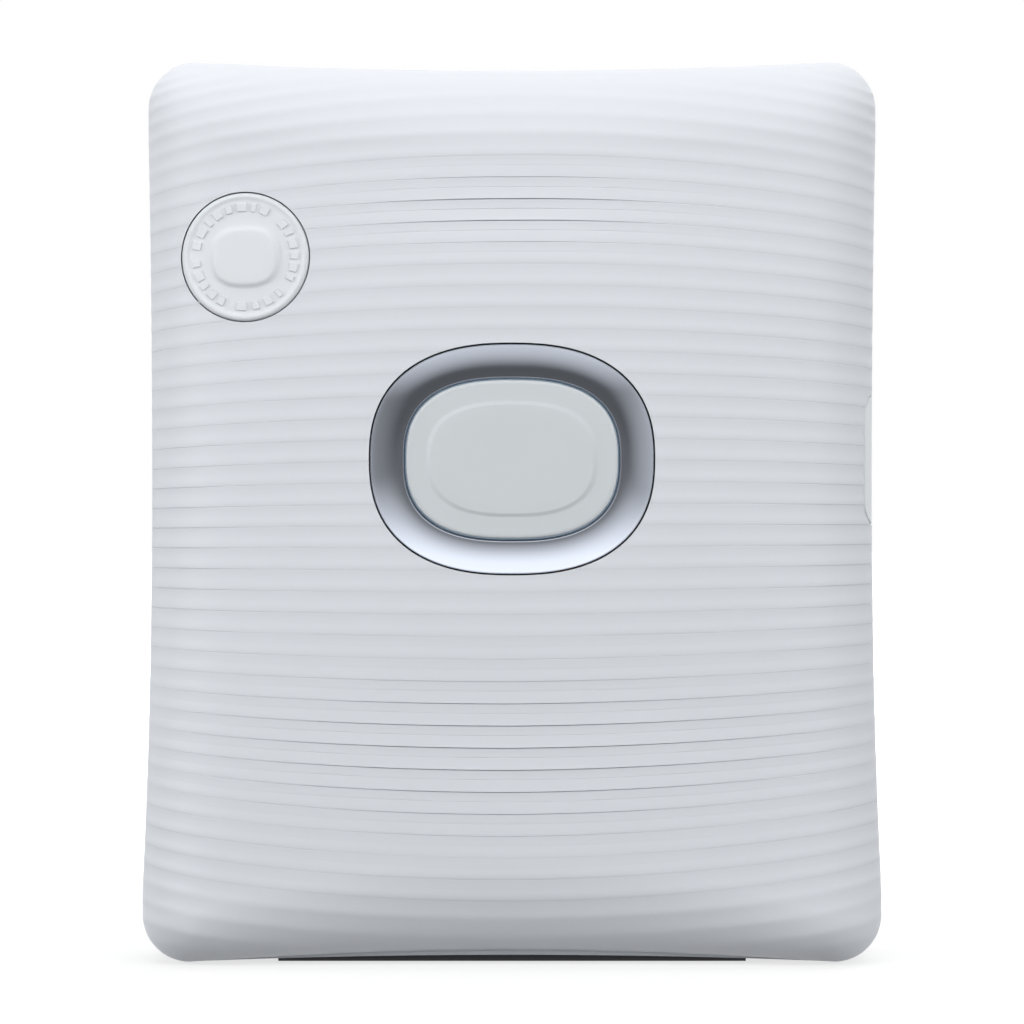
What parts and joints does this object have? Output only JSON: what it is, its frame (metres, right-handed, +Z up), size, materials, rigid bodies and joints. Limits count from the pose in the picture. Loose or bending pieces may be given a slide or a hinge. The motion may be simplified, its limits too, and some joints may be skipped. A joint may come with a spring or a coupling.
{
  "type": "compact photo printer",
  "caption": "Pocket photo printer with a ribbed pillow-shaped front, a power button in a dish, a round button, a side latch and a hinged film door over a film chamber and feed rollers.",
  "frame": {"origin": "centre of the base, on the surface that the printer stands on", "axes": "+Z up along the height, -Y out of the ribbed front, +X towards the side with the door latch"},
  "size_m": [0.101, 0.0339, 0.123],
  "materials": {
    "cover_white": "satin",
    "case_white": "satin",
    "latch_white": "satin",
    "button_white": "satin",
    "button_grey": "satin",
    "dish_silver": "glossy metallic paint",
    "guide_clear": "frosted clear plastic",
    "foot_rubber": "matt",
    "silicone_dark": "matt",
    "board_green": "solder mask",
    "component_black": "moulded",
    "led_white": "clear",
    "window_smoke": "clear",
    "steel": "drawn",
    "motor_steel": "plated",
    "foam_black": "felt and foam",
    "chassis_black": "spark textured",
    "lens_glass": "polished",
    "roller_rubber": "ground",
    "gear_nylon": "natural",
    "brass": "turned",
    "battery_foil": "foil",
    "cable_amber": "film",
    "screw_dark": "black oxide"
  },
  "bodies": {
    "printer_body": {"front_cover": "cover_white", "rear_case": "case_white", "foot_strip": "foot_rubber", "dish_ring": "dish_silver", "light_guide": "guide_clear", "power_button_dome": "silicone_dark", "function_button_dome": "silicone_dark", "switch_board": "board_green", "tact_switches": "component_black", "status_leds": "led_white", "door_hinge_pins": "steel", "door_seal": "foam_black", "latch_pin": "steel", "latch_spring": "steel", "chassis": "chassis_black", "exposure_head": "chassis_black", "exposure_lens": "lens_glass", "roller_bushes": "gear_nylon", "gear_posts": "steel", "motor": "motor_steel", "claw_spring": "steel", "claw_pins": "steel", "exit_bezel": "chassis_black", "exit_seals": "foam_black", "main_board": "board_green", "board_chips": "component_black", "shield_can": "steel", "battery": "battery_foil", "battery_tape": "foam_black", "ribbon_cable": "cable_amber", "usb_port": "steel", "usb_tongue": "component_black", "usb_board": "board_green", "case_screws": "screw_dark", "chassis_screws": "screw_dark", "board_screws": "screw_dark"},
    "power_button": {"power_button": "button_grey"},
    "function_button": {"function_button": "button_white"},
    "film_door": {"film_door": "case_white", "door_window": "window_smoke", "plate_springs": "steel"},
    "pressure_plate": {"pressure_plate": "chassis_black"},
    "door_latch": {"door_latch": "latch_white"},
    "front_roller": {"front_roller_shaft": "steel", "front_roller_rubber": "roller_rubber", "front_roller_gear": "gear_nylon"},
    "rear_roller": {"rear_roller_shaft": "steel", "rear_roller_rubber": "roller_rubber", "rear_roller_gear": "gear_nylon"},
    "idler_gear": {"idler_gear": "gear_nylon"},
    "compound_gear": {"compound_gear": "gear_nylon"},
    "motor_pinion": {"motor_pinion": "brass"},
    "pick_claw": {"pick_claw": "steel"}
  },
  "joints": [
    {"name": "power_button_press", "type": "slide", "parent": "printer_body", "child": "power_button", "axis": [0, 1, 0], "range_m": [0, 0.0005], "stiffness_N_per_m": 300, "deforming": ["power_button_dome"]},
    {"name": "function_button_press", "type": "slide", "parent": "printer_body", "child": "function_button", "axis": [0, 1, 0], "range_m": [0, 0.0005], "stiffness_N_per_m": 300, "deforming": ["function_button_dome"]},
    {"name": "film_door_hinge", "type": "hinge", "parent": "printer_body", "child": "film_door", "pos_m": [-0.0426, 0.0155, 0.058], "axis": [0, 0, 1], "range_deg": [0, 90]},
    {"name": "pressure_plate_slide", "type": "slide", "parent": "film_door", "child": "pressure_plate", "axis": [0, 1, 0], "range_m": [0, 0.001], "stiffness_N_per_m": 300, "deforming": ["plate_springs"]},
    {"name": "door_latch_rock", "type": "hinge", "parent": "printer_body", "child": "door_latch", "pos_m": [0.0441, 0.0004, 0.0686], "axis": [0, 0, -1], "range_deg": [0, 3.5], "stiffness_Nm_per_rad": 0.1, "deforming": ["latch_spring"]},
    {"name": "front_roller_spin", "type": "hinge", "parent": "printer_body", "child": "front_roller", "pos_m": [0, -0.003, 0.1097], "axis": [1, 0, 0], "continuous": true},
    {"name": "rear_roller_spin", "type": "hinge", "parent": "printer_body", "child": "rear_roller", "pos_m": [0, 0.005, 0.1097], "axis": [1, 0, 0], "continuous": true},
    {"name": "idler_gear_spin", "type": "hinge", "parent": "printer_body", "child": "idler_gear", "pos_m": [0, -0.00549, 0.10286], "axis": [1, 0, 0], "continuous": true},
    {"name": "compound_gear_spin", "type": "hinge", "parent": "printer_body", "child": "compound_gear", "pos_m": [0, -0.00351, 0.09753], "axis": [1, 0, 0], "continuous": true},
    {"name": "motor_pinion_spin", "type": "hinge", "parent": "printer_body", "child": "motor_pinion", "pos_m": [0, -0.0076, 0.092], "axis": [1, 0, 0], "continuous": true},
    {"name": "pick_claw_slide", "type": "slide", "parent": "printer_body", "child": "pick_claw", "axis": [0, 0, 1], "range_m": [0, 0.004], "stiffness_N_per_m": 30, "springref_m": -0.003, "deforming": ["claw_spring"]}
  ],
  "couplings": [
    {"joint": "rear_roller_spin", "follows": "front_roller_spin", "ratio": -1},
    {"joint": "idler_gear_spin", "follows": "front_roller_spin", "ratio": -1.25},
    {"joint": "compound_gear_spin", "follows": "front_roller_spin", "ratio": 1.6667},
    {"joint": "motor_pinion_spin", "follows": "front_roller_spin", "ratio": -5.4167}
  ]
}
